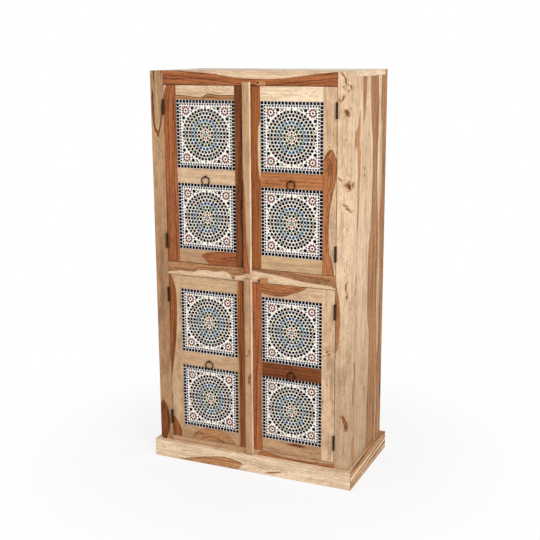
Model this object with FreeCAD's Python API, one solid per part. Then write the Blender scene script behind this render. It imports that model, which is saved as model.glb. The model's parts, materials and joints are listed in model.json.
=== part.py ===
import FreeCAD, Part
import os

# A highboard with four tiled doors on a plinth. Millimetres, +Z up, doors face -Y.
# The origin is on the floor, in the middle of the plinth's outline.

# Tiles
tile_width = 200.0
tile_height = 210.0
tile_thickness = 8.0
tile_lap = 5.0
tile_recess = 2.0

# Doors
door_thickness = 20.0
outer_stile_width = 40.0
end_rail_height = 41.0
lock_rail_height = 44.0
door_proud = 0.5
hinge_gap = 1.5
end_gap = 1.5

# Meeting line of two doors and its closing strip, which stands on the right door
meeting_width = 81.0
meeting_gap = 3.0
strip_width = 22.0
strip_thickness = 12.0
strip_above_door = 12.0
strip_below_door = 15.0

# Front frame
post_width = 43.0
frame_thickness = 25.0
top_rail_height = 40.0
middle_rail_height = 40.0
bottom_rail_height = 50.0
bottom_rail_reveal = 16.0

# Carcass
carcass_depth = 316.0
side_thickness = 18.0
top_thickness = 16.0
back_frame_thickness = 20.0
back_panel_thickness = 8.0
plinth_height = 56.0
plinth_thickness = 15.0

# Inside
board_thickness = 16.0
shelf_setback = 6.0
shelf_clearance = 1.0
cleat_section = 18.0
stop_height = 12.0
stop_depth = 12.0
stop_clearance = 0.3

# Hinges
hinge_length = 44.0
barrel_radius = 3.5
barrel_clearance = 0.3
knuckle_clearance = 0.2
pin_radius = 1.5
pin_play = 0.05
pin_head_radius = 2.4
pin_head_height = 1.2
leaf_thickness = 1.4
leaf_depth = 17.0
leaf_play = 0.1

# Hinge screws
screw_head_radius = 3.0
screw_radius = 1.25
screw_length = 14.0
screw_play = 0.05
screw_spacing = 24.0

# Ring pulls
ring_radius = 12.25
ring_wire_radius = 1.75
eye_clearance = 0.3
eye_wire_radius = 1.0
eye_stand_off = 0.2
eye_shank_radius = 1.2
eye_shank_length = 14.0

# Turn-buttons
button_from_centre = 36.5
button_above_opening = 7.5
button_head_radius = 6.5
button_tail_length = 23.0
button_tail_width = 15.0
button_thickness = 7.5
button_clearance = 0.3
button_screw_radius = 1.9
button_screw_play = 0.1
button_screw_head_radius = 3.2
button_screw_head_height = 1.8
button_counterbore_radius = 3.7
button_counterbore_depth = 3.0
button_screw_depth = 15.0

# Sizes that follow
tile_view_width = tile_width - 2 * tile_lap
tile_view_height = tile_height - 2 * tile_lap
door_height = 2 * end_rail_height + lock_rail_height + 2 * tile_view_height
opening_height = door_height + 2 * end_gap
tile_near = meeting_width / 2
tile_far = tile_near + tile_view_width
door_edge = tile_far + outer_stile_width
opening_edge = door_edge + hinge_gap
carcass_edge = opening_edge + post_width
panel_inside = carcass_edge - side_thickness
tile_middle = (tile_near + tile_far) / 2

front = -carcass_depth / 2
back = carcass_depth / 2
frame_back = front + frame_thickness
back_frame_front = back - back_frame_thickness
door_front = front - door_proud
door_back = door_front + door_thickness

bottom_rail_top = plinth_height + bottom_rail_reveal
bottom_rail_foot = bottom_rail_top - bottom_rail_height
middle_rail_foot = bottom_rail_top + opening_height
middle_rail_top = middle_rail_foot + middle_rail_height
top_rail_foot = middle_rail_top + opening_height
total_height = top_rail_foot + top_rail_height
top_board_foot = total_height - top_thickness

# The meeting edge of each leaf, counted from the middle towards its own side
LEFT, RIGHT = -1, 1
leaf_start = {LEFT: strip_width / 2 + meeting_gap, RIGHT: -strip_width / 2}
side_names = {LEFT: "left", RIGHT: "right"}
opening_foot = {"lower": bottom_rail_top, "upper": middle_rail_top}

hinge_axis = door_edge + hinge_gap / 2
barrel_line = door_front - barrel_clearance - barrel_radius
eye_hole_radius = ring_wire_radius + eye_clearance
eye_radius = eye_hole_radius + eye_wire_radius
eye_line = door_front - eye_stand_off - eye_radius - eye_wire_radius

vector = FreeCAD.Vector
parts = {}


def block(x0, x1, y0, y1, z0, z1):
    """A box between two values on each axis; the x values may come in either order."""
    corner = vector(min(x0, x1), y0, z0)
    return Part.makeBox(abs(x1 - x0), y1 - y0, z1 - z0, corner)


def sided(side, near, far, y0, y1, z0, z1):
    """A box whose x values are counted from the middle towards one side."""
    return block(side * near, side * far, y0, y1, z0, z1)


def carve(shape, cutters):
    """The one solid that is left of a piece after its recesses and holes."""
    if not cutters:
        return shape
    return shape.cut(cutters).Solids[0]


def join(first, others):
    """One solid made of pieces that run into each other."""
    return first.fuse(others).removeSplitter().Solids[0]


def countersunk_screw(x, y, z, side, play):
    """A screw driven sideways from its flat head; play widens it into its own hole."""
    start = vector(x, y, z)
    way = vector(side, 0, 0)
    head = Part.makeCone(screw_head_radius + play, screw_radius + play, leaf_thickness, start, way)
    shank = Part.makeCylinder(screw_radius + play, screw_length + play, start, way)
    return join(head, [shank])


def hinge_leaf(side, reach, knuckles, foot, screws):
    """A leaf whose plate lies beside the gap, with its knuckles round the pin.

    reach is +1 for the leaf on the post and -1 for the leaf on the door.
    """
    near = hinge_axis + reach * leaf_play
    far = near + reach * leaf_thickness
    plate_front = barrel_line + barrel_radius + barrel_clearance
    plate = sided(side, near, far, plate_front, front + leaf_depth, foot, foot + hinge_length)
    pieces = []
    for low, high in knuckles:
        base = vector(side * hinge_axis, barrel_line, low)
        pieces.append(Part.makeCylinder(barrel_radius, high - low, base))
        pieces.append(sided(side, near, far, barrel_line, plate_front, low, high))
    leaf = join(plate, pieces)
    bore = Part.makeCylinder(pin_radius + pin_play, hinge_length, vector(side * hinge_axis, barrel_line, foot))
    return carve(leaf, [bore] + screws)


def hinge_pin(side, foot):
    """A pin with a flat head at both ends of the barrel."""
    x = side * hinge_axis
    shank = Part.makeCylinder(pin_radius, hinge_length, vector(x, barrel_line, foot))
    heads = []
    for z in (foot - pin_head_height, foot + hinge_length):
        heads.append(Part.makeCylinder(pin_head_radius, pin_head_height, vector(x, barrel_line, z)))
    return join(shank, heads)


def hinge(side, foot):
    """Everything of one butt hinge, with the recesses that it needs in the post and in the door."""
    third = hinge_length / 3
    lower_joint = foot + third
    upper_joint = foot + 2 * third
    half_play = knuckle_clearance / 2
    outer_knuckles = [(foot, lower_joint - half_play), (upper_joint + half_play, foot + hinge_length)]
    middle_knuckle = [(lower_joint + half_play, upper_joint - half_play)]
    screw_line = front + leaf_depth / 2
    made = {"pin": hinge_pin(side, foot)}
    for owner, reach, knuckles in (("post", 1, outer_knuckles), ("door", -1, middle_knuckle)):
        near = hinge_axis + reach * leaf_play
        far = near + reach * leaf_thickness
        heights = [foot + (hinge_length + way * screw_spacing) / 2 for way in (-1, 1)]
        holes = [countersunk_screw(side * near, screw_line, z, side * reach, screw_play) for z in heights]
        made[owner + " screws"] = [countersunk_screw(side * near, screw_line, z, side * reach, 0) for z in heights]
        made[owner + " leaf"] = hinge_leaf(side, reach, knuckles, foot, holes)
        mortise = sided(side, near, far, door_front, front + leaf_depth, foot, foot + hinge_length)
        made[owner + " recesses"] = [mortise] + holes
    return made


def hinge_feet(level):
    """The lower ends of a door's two hinges, level with the outer ends of its tiles."""
    door_foot = opening_foot[level] + end_gap
    return [door_foot + end_rail_height, door_foot + door_height - end_rail_height - hinge_length]


levels = ("lower", "upper")
sides = (LEFT, RIGHT)
hinges = {}
for level in levels:
    for side in sides:
        hinges[level, side] = [hinge(side, foot) for foot in hinge_feet(level)]

# Front frame: full-height posts with the rails between them
for side in sides:
    post = sided(side, opening_edge, carcass_edge, front, frame_back, 0, total_height)
    recesses = []
    for level in levels:
        for one in hinges[level, side]:
            recesses += one["post recesses"]
    parts[side_names[side] + "_front_post"] = carve(post, recesses)


def button_screw(z, play):
    """The screw of a turn-button from the back of its head into the rail."""
    seat = door_front - button_clearance - button_thickness + button_counterbore_depth
    length = front + button_screw_depth - seat
    return Part.makeCylinder(button_screw_radius + play, length, vector(button_from_centre, seat, z), vector(0, 1, 0))


def front_rail(foot, top, screw_heights):
    """A rail between the posts, with the holes of the turn-button screws that it holds."""
    rail = block(-opening_edge, opening_edge, front, frame_back, foot, top)
    return carve(rail, [button_screw(z, 0) for z in screw_heights])


button_height = {"lower": middle_rail_foot + button_above_opening, "upper": top_rail_foot + button_above_opening}
parts["top_rail"] = front_rail(top_rail_foot, total_height, [button_height["upper"]])
parts["middle_rail"] = front_rail(middle_rail_foot, middle_rail_top, [button_height["lower"]])
parts["bottom_rail"] = front_rail(bottom_rail_foot, bottom_rail_top, [])

# Back frame and its panel
parts["back_posts"] = [
    sided(side, opening_edge, carcass_edge, back_frame_front, back, 0, total_height) for side in sides
]
parts["back_rails"] = [
    block(-opening_edge, opening_edge, back_frame_front, back, foot, top)
    for foot, top in ((bottom_rail_foot, bottom_rail_top), (top_rail_foot, total_height))
]
parts["back_panel"] = block(
    -opening_edge, opening_edge, back_frame_front, back_frame_front + back_panel_thickness,
    bottom_rail_top, top_rail_foot,
)

# Side panels and the top, between the front and back frames
for side in sides:
    parts[side_names[side] + "_side_panel"] = sided(
        side, panel_inside, carcass_edge, frame_back, back_frame_front, 0, top_board_foot
    )
parts["top_board"] = block(
    -carcass_edge, carcass_edge, frame_back, back_frame_front, top_board_foot, total_height
)

# Fixed boards inside, level with the rails
for name, top in (("bottom_board", bottom_rail_top), ("dividing_shelf", middle_rail_top)):
    parts[name] = block(-panel_inside, panel_inside, frame_back, back_frame_front, top - board_thickness, top)

# A shelf in the middle of each compartment, on cleats along the side panels
shelf_front = frame_back + shelf_setback
shelf_back = back_frame_front - shelf_clearance
shelf_edge = panel_inside - shelf_clearance
parts["shelf_cleats"] = []
for level in levels:
    shelf_foot = opening_foot[level] + (opening_height - board_thickness) / 2
    parts[level + "_shelf"] = block(
        -shelf_edge, shelf_edge, shelf_front, shelf_back, shelf_foot, shelf_foot + board_thickness
    )
    for side in sides:
        parts["shelf_cleats"].append(sided(
            side, panel_inside - cleat_section, panel_inside, shelf_front, shelf_back,
            shelf_foot - cleat_section, shelf_foot,
        ))

# Strips under the top and middle rails that the doors close against
stop_front = door_back + stop_clearance
parts["door_stops"] = [
    block(-opening_edge, opening_edge, stop_front, stop_front + stop_depth, foot - stop_height, foot)
    for foot in (middle_rail_foot, top_rail_foot)
]


def plinth_board(inner_start, inner_end, outer_end, outer_start):
    """A board of the plinth, mitred at both ends; the points go round its outline on the floor."""
    corners = [vector(x, y, 0) for x, y in (inner_start, inner_end, outer_end, outer_start)]
    outline = Part.makePolygon(corners + corners[:1])
    return Part.Face(outline).extrude(vector(0, 0, plinth_height))


# Plinth: four mitred boards against the outside of the carcass
plinth_edge = carcass_edge + plinth_thickness
plinth_front = front - plinth_thickness
plinth_back = back + plinth_thickness
parts["front_plinth"] = plinth_board(
    (-carcass_edge, front), (carcass_edge, front), (plinth_edge, plinth_front), (-plinth_edge, plinth_front)
)
parts["back_plinth"] = plinth_board(
    (carcass_edge, back), (-carcass_edge, back), (-plinth_edge, plinth_back), (plinth_edge, plinth_back)
)
parts["side_plinths"] = [
    plinth_board(
        (side * carcass_edge, front), (side * carcass_edge, back),
        (side * plinth_edge, plinth_back), (side * plinth_edge, plinth_front),
    )
    for side in sides
]


def ring_eye(x, z, play):
    """A wire eye on a shank; play widens the shank into its own hole."""
    eye = Part.makeTorus(eye_radius, eye_wire_radius, vector(x, eye_line, z), vector(1, 0, 0))
    shank_start = eye_line + eye_radius
    length = door_front + eye_shank_length - shank_start
    shank = Part.makeCylinder(eye_shank_radius + play, length, vector(x, shank_start, z), vector(0, 1, 0))
    return join(eye, [shank])


def door(level, side):
    """One door: two stiles, three rails, two tiles with their backing boards, leaves, eye and ring."""
    name = level + "_" + side_names[side] + "_"
    foot = opening_foot[level] + end_gap
    head = foot + door_height
    pitch = tile_view_height + lock_rail_height
    tile_feet = [foot + end_rail_height + count * pitch for count in (0, 1)]
    tile_front = door_front + tile_recess
    tile_back = tile_front + tile_thickness
    lapped = (tile_near - tile_lap, tile_far + tile_lap)
    spans = [(low - tile_lap, low + tile_view_height + tile_lap) for low in tile_feet]
    pockets = [sided(side, *lapped, tile_front, door_back, *span) for span in spans]
    parts[name + "tiles"] = [sided(side, *lapped, tile_front, tile_back, *span) for span in spans]
    parts[name + "tile_backs"] = [sided(side, *lapped, tile_back, door_back, *span) for span in spans]

    recesses = []
    leaves = []
    for one in hinges[level, side]:
        recesses += one["door recesses"]
        leaves += [one["door leaf"]] + one["door screws"]
    outer = sided(side, tile_far, door_edge, door_front, door_back, foot, head)
    meeting = sided(side, leaf_start[side], tile_near, door_front, door_back, foot, head)
    parts[name + "outer_stile"] = carve(outer, pockets + recesses)
    parts[name + "meeting_stile"] = carve(meeting, pockets)
    parts[name + "hinge_leaves"] = leaves

    eye_x = side * tile_middle
    eye_z = tile_feet[1] - lock_rail_height / 2
    eye_hole = ring_eye(eye_x, eye_z, screw_play)
    rail_spans = [
        (foot, tile_feet[0]),
        (tile_feet[0] + tile_view_height, tile_feet[1]),
        (tile_feet[1] + tile_view_height, head),
    ]
    rails = [sided(side, tile_near, tile_far, door_front, door_back, *span) for span in rail_spans]
    parts[name + "door_rails"] = [carve(rail, pockets + [eye_hole]) for rail in rails]
    parts[name + "ring_eye"] = ring_eye(eye_x, eye_z, 0)
    ring_centre = vector(eye_x, eye_line, eye_z - ring_radius)
    parts[name + "ring"] = Part.makeTorus(ring_radius, ring_wire_radius, ring_centre, vector(0, 1, 0))


for level in levels:
    for side in sides:
        door(level, side)

# Closing strips on the right doors, with their left edge at the leaf's meeting edge
for level in levels:
    foot = opening_foot[level] + end_gap
    parts[level + "_strip"] = block(
        -strip_width / 2, strip_width / 2, door_front - strip_thickness, door_front,
        foot - strip_below_door, foot + door_height + strip_above_door,
    )

# Hinge pieces that stay with the posts
every_hinge = [one for pair in hinges.values() for one in pair]
parts["hinge_frame_leaves"] = [one["post leaf"] for one in every_hinge]
parts["hinge_pins"] = [one["pin"] for one in every_hinge]
parts["hinge_screws"] = [screw for one in every_hinge for screw in one["post screws"]]


def turn_button(z):
    """A wooden button lying along the rail, clear of the door, with a counterbore for its screw."""
    y = door_front - button_clearance - button_thickness
    pivot = vector(button_from_centre, y, z)
    depth = vector(0, button_thickness, 0)
    way = vector(0, 1, 0)
    head = Part.makeCylinder(button_head_radius, button_thickness, pivot, way)
    outline = [
        vector(0, 0, -button_head_radius),
        vector(button_tail_length, 0, -button_tail_width / 2),
        vector(button_tail_length, 0, button_tail_width / 2),
        vector(0, 0, button_head_radius),
    ]
    corners = [pivot + point for point in outline]
    tail = Part.Face(Part.makePolygon(corners + corners[:1])).extrude(depth)
    counterbore = Part.makeCylinder(button_counterbore_radius, button_counterbore_depth, pivot, way)
    hole = Part.makeCylinder(button_screw_radius + button_screw_play, button_thickness, pivot, way)
    return carve(join(head, [tail]), [counterbore, hole])


def headed_button_screw(z):
    """The button's screw with its head sunk in the counterbore."""
    shank = button_screw(z, 0)
    seat = door_front - button_clearance - button_thickness + button_counterbore_depth - button_screw_play
    start = vector(button_from_centre, seat - button_screw_head_height, z)
    reach = button_screw_head_height
    head = Part.makeCylinder(button_screw_head_radius, reach, start, vector(0, 1, 0))
    neck = Part.makeCylinder(button_screw_radius, button_screw_play, start + vector(0, reach, 0), vector(0, 1, 0))
    return join(shank, [neck, head])


# Turn-buttons on the rails above the right doors
parts["button_screws"] = []
for level in levels:
    parts[level + "_turn_button"] = turn_button(button_height[level])
    parts["button_screws"].append(headed_button_screw(button_height[level]))

os.makedirs("parts", exist_ok=True)
for name, made in parts.items():
    shape = Part.makeCompound(made) if isinstance(made, list) else made
    shape.exportStep("parts/" + name + ".step")
    print(name, len(shape.Solids), shape.isValid(), round(shape.Volume / 1000, 1), "cm3")
print("height", total_height, "width", 2 * plinth_edge, "depth", plinth_back - plinth_front)
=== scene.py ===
import json
import random
from collections import namedtuple
from math import cos, hypot, pi, radians, sin

import bmesh
import bpy
from mathutils import Matrix, Vector

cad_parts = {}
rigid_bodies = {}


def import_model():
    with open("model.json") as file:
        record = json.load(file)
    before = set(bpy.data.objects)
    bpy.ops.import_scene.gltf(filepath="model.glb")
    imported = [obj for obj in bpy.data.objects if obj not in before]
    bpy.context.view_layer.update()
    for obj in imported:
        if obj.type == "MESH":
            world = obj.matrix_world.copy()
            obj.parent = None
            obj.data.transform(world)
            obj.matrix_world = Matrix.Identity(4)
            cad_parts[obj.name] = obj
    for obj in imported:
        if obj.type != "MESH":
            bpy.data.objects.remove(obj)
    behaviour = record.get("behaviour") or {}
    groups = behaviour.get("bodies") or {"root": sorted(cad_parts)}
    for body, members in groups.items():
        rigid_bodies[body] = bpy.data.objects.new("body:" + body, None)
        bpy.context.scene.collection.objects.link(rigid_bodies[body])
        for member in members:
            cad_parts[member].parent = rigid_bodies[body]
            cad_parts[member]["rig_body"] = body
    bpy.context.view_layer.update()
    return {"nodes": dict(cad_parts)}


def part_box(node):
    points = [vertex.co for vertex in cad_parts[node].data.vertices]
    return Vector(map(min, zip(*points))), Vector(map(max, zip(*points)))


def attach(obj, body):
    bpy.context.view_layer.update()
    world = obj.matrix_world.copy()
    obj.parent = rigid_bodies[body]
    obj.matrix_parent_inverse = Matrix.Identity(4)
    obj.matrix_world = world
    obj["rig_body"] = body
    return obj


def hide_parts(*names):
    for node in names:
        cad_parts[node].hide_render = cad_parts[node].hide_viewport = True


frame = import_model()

MM = 0.001
LOW, HIGH = 0, 1
X, Y, Z = 0, 1, 2
LEVELS = ("lower", "upper")
SIDES = ("left", "right")
DOORS = [f"{level}_{side}" for level in LEVELS for side in SIDES]
SIGNS = {"left": -1, "right": 1}
scene = bpy.context.scene
chance = random.Random(11)


def face_of(node, end, axis):
    """Where a node ends along an axis, in millimetres."""
    return round(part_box(node)[end][axis] / MM, 1)


def add_object(name, data):
    made = bpy.data.objects.new(name, data)
    scene.collection.objects.link(made)
    return made


# Node helpers

def colour(red, green, blue):
    """A display colour, 0 to 255 in each part, as linear light."""
    parts = [part / 255 for part in (red, green, blue)]
    linear = [p / 12.92 if p <= 0.04045 else ((p + 0.055) / 1.055) ** 2.4 for p in parts]
    return (*linear, 1.0)


def add_node(kind, inputs, tree=None, **settings):
    """A new node with its settings and its inputs, in the tree that its links come from if none is given."""
    links = {key: value for key, value in inputs.items() if isinstance(value, bpy.types.NodeSocket)}
    if tree is None:
        tree = next(iter(links.values())).id_data
    made = tree.nodes.new("ShaderNode" + kind)
    for key, value in settings.items():
        setattr(made, key, value)
    for key, value in inputs.items():
        if key in links:
            tree.links.new(value, made.inputs[key])
        else:
            made.inputs[key].default_value = value
    return made


def calc(operation, *values):
    return add_node("Math", dict(enumerate(values)), operation=operation).outputs[0]


def minus(first, second):
    return calc("SUBTRACT", first, second)


def times(first, second):
    return calc("MULTIPLY", first, second)


def plus(base, value, weight):
    """A base plus a weighted value."""
    return calc("MULTIPLY_ADD", value, weight, base)


def spread(value, low, high, at_low=0.0, at_high=1.0):
    """A value eased from one range to another, and held at the ends."""
    inputs = {"Value": value, "From Min": low, "From Max": high, "To Min": at_low, "To Max": at_high}
    return add_node("MapRange", inputs, interpolation_type="SMOOTHSTEP").outputs["Result"]


def mix(share, first, second, blend="MIX"):
    inputs = {0: share, 6: first, 7: second}
    return add_node("Mix", inputs, data_type="RGBA", blend_type=blend).outputs[2]


def tinted(base, tint):
    """A colour with each of its parts scaled."""
    return mix(1.0, base, (*tint, 1.0), "MULTIPLY")


def vector(operation, first, second):
    return add_node("VectorMath", {0: first, 1: second}, operation=operation).outputs[0]


def split(place):
    """The three parts of a place."""
    return add_node("SeparateXYZ", {0: place}).outputs


def joined(*parts):
    """A place from its three parts."""
    return add_node("CombineXYZ", dict(enumerate(parts))).outputs[0]


def own_place(tree):
    """The place in a piece's own coordinates, in metres."""
    return add_node("TexCoord", {}, tree).outputs["Object"]


def noise(place, scale, detail, roughness=0.5):
    """Noise over a place, with a scale of its own along each axis, in features per metre."""
    stretched = vector("MULTIPLY", place, scale)
    inputs = {"Vector": stretched, "Scale": 1.0, "Detail": detail, "Roughness": roughness}
    return add_node("TexNoise", inputs).outputs


Pattern = namedtuple("Pattern", "scale detail roughness low high", defaults=(None, None))


def pattern(place, kind):
    """A noise pattern, as it is or spread so that its low value becomes 0 and its high value 1."""
    value = noise(place, kind.scale, kind.detail, kind.roughness)["Fac"]
    return value if kind.low is None else spread(value, kind.low, kind.high)


def bump(height, strength, distance):
    inputs = {"Height": height, "Strength": strength, "Distance": distance}
    return add_node("Bump", inputs).outputs["Normal"]


def new_group(name, inputs, outputs):
    """A node group with its named sockets: its tree, its input sockets and its output sockets."""
    tree = bpy.data.node_groups.new(name, "ShaderNodeTree")
    for side, sockets in (("INPUT", inputs), ("OUTPUT", outputs)):
        for label, kind in sockets.items():
            tree.interface.new_socket(label, in_out=side, socket_type="NodeSocket" + kind)
    return tree, tree.nodes.new("NodeGroupInput").outputs, tree.nodes.new("NodeGroupOutput").inputs


def use_group(group, inputs):
    return add_node("Group", inputs, node_tree=group).outputs


def finish_material(name, inputs, surface):
    """A material whose look comes from a function that gives the links for its shader's inputs."""
    made = bpy.data.materials.new(name)
    made.use_nodes = True
    tree = made.node_tree
    shader = tree.nodes["Principled BSDF"]
    for key, value in inputs.items():
        shader.inputs[key].default_value = value
    for key, socket in surface(tree).items():
        tree.links.new(socket, shader.inputs[key])
    return made


# Sheesham: a board is cut from a log, so its figure is a function of the place in that log.
# A place is along the grain, across it and deep into the board.

def moved_by_seed(place, seed):
    return vector("ADD", place, joined(seed, seed, seed))


# How grain bends: features per metre, detail, the share of a reach along each axis, and which reach
BENDS = (
    ((4.0, 13.0, 13.0), 1.0, (0.0, 2.0, 2.0), "Wander"),
    ((19.0, 70.0, 70.0), 2.0, (0.2, 0.5, 0.5), "Crook"),
    ((90.0, 190.0, 190.0), 2.0, (0.2, 0.35, 0.35), "Crook"),
)
NOISE_MIDDLE = 0.5


def make_place_group():
    """Bends a board's straight coordinates: its grain wanders broadly and is crooked in the small."""
    inputs = {"Straight": "Vector", "Seed": "Float", "Wander": "Float", "Crook": "Float"}
    tree, given, out = new_group("board place", inputs, {"Place": "Vector"})
    moved = moved_by_seed(given["Straight"], given["Seed"])
    bent = given["Straight"]
    for scale, detail, shares, reach in BENDS:
        waves = noise(moved, scale, detail)["Color"]
        centred = vector("SUBTRACT", waves, (NOISE_MIDDLE,) * 3)
        inputs = {0: vector("MULTIPLY", centred, shares), "Scale": given[reach]}
        bent = vector("ADD", bent, add_node("VectorMath", inputs, operation="SCALE").outputs[0])
    tree.links.new(bent, out["Place"])
    return tree


Figure = namedtuple("Figure", "start line slope depth reach taper curl")


def make_figure_group():
    """How far a place lies inside heartwood: a log with a sloping core and a changing radius."""
    inputs = {"Place": "Vector", **{value: "Float" for value in Figure._fields}}
    tree, given, out = new_group("heartwood figure", inputs, {"Inside": "Float"})
    along, across, deep = split(given["Place"])
    run = minus(along, given["start"])
    aside = minus(across, plus(given["line"], run, given["slope"]))
    below = minus(deep, given["depth"])
    radius = calc("SQRT", plus(times(below, below), aside, aside))
    limit = plus(given["reach"], run, given["taper"])
    limit = minus(limit, times(times(run, run), given["curl"]))
    tree.links.new(minus(limit, radius), out["Inside"])
    return tree


# Patterns of the wood, in features per metre along, across and deep
WOOD_PATTERNS = {
    "streak": Pattern((4.5, 120.0, 120.0), 4.0, 0.7, 0.38, 0.64),
    "speckle": Pattern((85.0, 300.0, 300.0), 2.0, 0.6, 0.36, 0.64),
    "stain": Pattern((9.0, 42.0, 42.0), 4.0, 0.65, 0.50, 0.66),
    "pore": Pattern((70.0, 1300.0, 1300.0), 1.0, 0.5, 0.58, 0.70),
    "fleck": Pattern((42.0, 150.0, 150.0), 2.0, 0.6, 0.67, 0.74),
    "broken": Pattern((70.0, 130.0, 130.0), 2.0, 0.5, 0.36, 0.52),
    "sway": Pattern((7.0, 24.0, 24.0), 2.0, 0.5),
    "tone": Pattern((7.0, 24.0, 24.0), 5.0, 0.68),
    "mottle": Pattern((24.0, 60.0, 60.0), 4.0, 0.62),
}
FINE_LINES = Pattern((420.0, 4.0, 1.0), 2.0, 0.6, 0.40, 0.62)

# Growth rings: their pitch in metres, their sway in pitches, and where in its pitch a ring darkens and ends
RING_PITCH, RING_SWAY, RING_DARKENS, RING_ENDS = 0.0085, 1.6, 0.30, 0.90
# Metres from the edge of the heartwood: its dark rim, the darker sapwood beside it, and its soft edge
RIM, BESIDE, SOFT = 0.0042, 0.006, 0.0005

# How light a wood is: a base, what rings, the heartwood's edge and patterns add, and its dark and light tint
Tissue = namedtuple("Tissue", "base ring edge weights dark light")
HEARTWOOD = Tissue(0.70, -0.75, -0.55, {"line": -0.40, "streak": -0.56, "speckle": -0.34, "tone": 0.60},
                   (0.42, 0.37, 0.36), (1.38, 1.56, 1.66))
SAPWOOD = Tissue(0.76, -0.30, -0.25,
                 {"line": -0.16, "streak": -0.32, "speckle": -0.32, "tone": 1.60, "mottle": 1.10},
                 (0.62, 0.52, 0.43), (1.13, 1.15, 1.17))
STAIN_TINT, FLECK_TINT, FLECK_SHARE = (0.62, 0.58, 0.55), (0.22, 0.16, 0.12), 0.8

# Cracks and the brown halo round them: between two distances in metres, from one share to another
CRACK, CRACK_HALO = (0.0012, 0.0042, 0.95, 0.0), (0.002, 0.011, 0.75, 0.0)
CRACK_COLOUR, HALO_TINT, HALO_MOTTLE = (0.185, 0.070, 0.026, 1.0), (0.80, 0.62, 0.44), (0.35, 0.60)
PORE_COLOUR, PORE_SHARE = (0.06, 0.030, 0.015, 1.0), 0.28
WORN_COLOUR, WORN_SHARE = (0.09, 0.045, 0.022, 1.0), 0.22
ROUGH, ROUGH_TONE, ROUGH_PORE, ROUGH_STREAK = 0.56, 0.10, 0.15, 0.06
CRACK_HEIGHT, PORE_HEIGHT, LINE_HEIGHT = -0.8, -1.0, -0.3


def tissue_colour(kind, tint, look, ring, edge):
    """The colour of heartwood or sapwood; each pattern is taken about its middle."""
    light = kind.base
    for name, weight in kind.weights.items():
        light = plus(light, minus(look[name], NOISE_MIDDLE), weight)
    light = plus(plus(light, ring, kind.ring), edge, kind.edge)
    return mix(light, tinted(tint, kind.dark), tinted(tint, kind.light))


def make_sheesham_group():
    """Colour, roughness and relief of a board from how far each place lies inside its heartwood."""
    floats = ("Inside", "Crack", "Seed", "Rings", "Stain")
    inputs = {"Place": "Vector", **{label: "Float" for label in floats}, "Sap": "Color", "Heart": "Color"}
    outputs = {"Color": "Color", "Roughness": "Float", "Height": "Float"}
    tree, given, out = new_group("sheesham", inputs, outputs)
    inside, sap, seed = given["Inside"], given["Sap"], given["Seed"]
    place = moved_by_seed(given["Place"], seed)
    look = {name: pattern(place, kind) for name, kind in WOOD_PATTERNS.items()}
    look["line"] = pattern(joined(inside, split(place)[0], seed), FINE_LINES)

    # growth rings follow the heartwood's edge: each darkens slowly, ends sharply and has its own strength
    count = plus(calc("DIVIDE", inside, RING_PITCH), look["sway"], RING_SWAY)
    number = calc("ADD", calc("FLOOR", count), seed)
    strength = add_node("TexWhiteNoise", {"W": number}, noise_dimensions="1D").outputs["Value"]
    part = calc("FRACT", count)
    ring = times(spread(part, RING_DARKENS, RING_ENDS), spread(part, RING_ENDS, 1.0, 1.0, 0.0))
    ring = times(times(ring, strength), given["Rings"])

    # heartwood is darkest at its rim; sapwood is darker beside it, with grey stains and short dark flecks
    heart_colour = tissue_colour(HEARTWOOD, given["Heart"], look, ring, spread(inside, 0.0, RIM, 1.0, 0.0))
    sap_colour = tissue_colour(SAPWOOD, sap, look, ring, spread(inside, -BESIDE, 0.0))
    stain = times(look["stain"], given["Stain"])
    sap_colour = mix(stain, sap_colour, tinted(sap, STAIN_TINT))
    sap_colour = mix(times(look["fleck"], FLECK_SHARE), sap_colour, tinted(sap, FLECK_TINT))

    # both, with cracks, pores and worn edges
    tint = mix(spread(inside, -SOFT, SOFT), sap_colour, heart_colour)
    crack = times(spread(given["Crack"], *CRACK), look["broken"])
    halo = times(spread(given["Crack"], *CRACK_HALO), spread(look["mottle"], *HALO_MOTTLE))
    tint = mix(halo, tint, tinted(tint, HALO_TINT))
    tint = mix(crack, tint, CRACK_COLOUR)
    tint = mix(times(look["pore"], PORE_SHARE), tint, PORE_COLOUR)
    worn = add_node("Attribute", {}, tree, attribute_name="edge").outputs["Fac"]
    tree.links.new(mix(times(worn, WORN_SHARE), tint, WORN_COLOUR), out["Color"])

    rough = plus(plus(ROUGH, look["tone"], ROUGH_TONE), look["pore"], ROUGH_PORE)
    tree.links.new(plus(rough, look["streak"], ROUGH_STREAK), out["Roughness"])
    height = plus(times(look["pore"], PORE_HEIGHT), crack, CRACK_HEIGHT)
    tree.links.new(plus(height, look["line"], LINE_HEIGHT), out["Height"])
    return tree


place_group = make_place_group()
figure_group = make_figure_group()
sheesham_group = make_sheesham_group()

# Sapwood and heartwood, from the palest to the darkest
PALE = colour(246, 226, 200)
IVORY = colour(234, 207, 174)
SHELL = colour(224, 193, 159)
CREAM = colour(214, 180, 146)
TAN = colour(199, 164, 127)
ASH = colour(193, 161, 128)
HONEY = colour(188, 149, 112)
DRAB = colour(176, 135, 99)
HAZEL = colour(186, 130, 84)
AMBER = colour(187, 115, 62)
FAWN = colour(166, 113, 73)
SIENNA = colour(164, 100, 58)
RUSSET = colour(155, 87, 49)
CHESTNUT = colour(139, 76, 36)
UMBER = colour(116, 61, 28)

# Which axes run along, across and deep, by the axis of the grain and by the face that shows
AXES = {"x_front": (X, Z, Y), "z_front": (Z, X, Y), "z_side": (Z, Y, X), "x_top": (X, Y, Z),
        "y_side": (Y, Z, X)}
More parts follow.
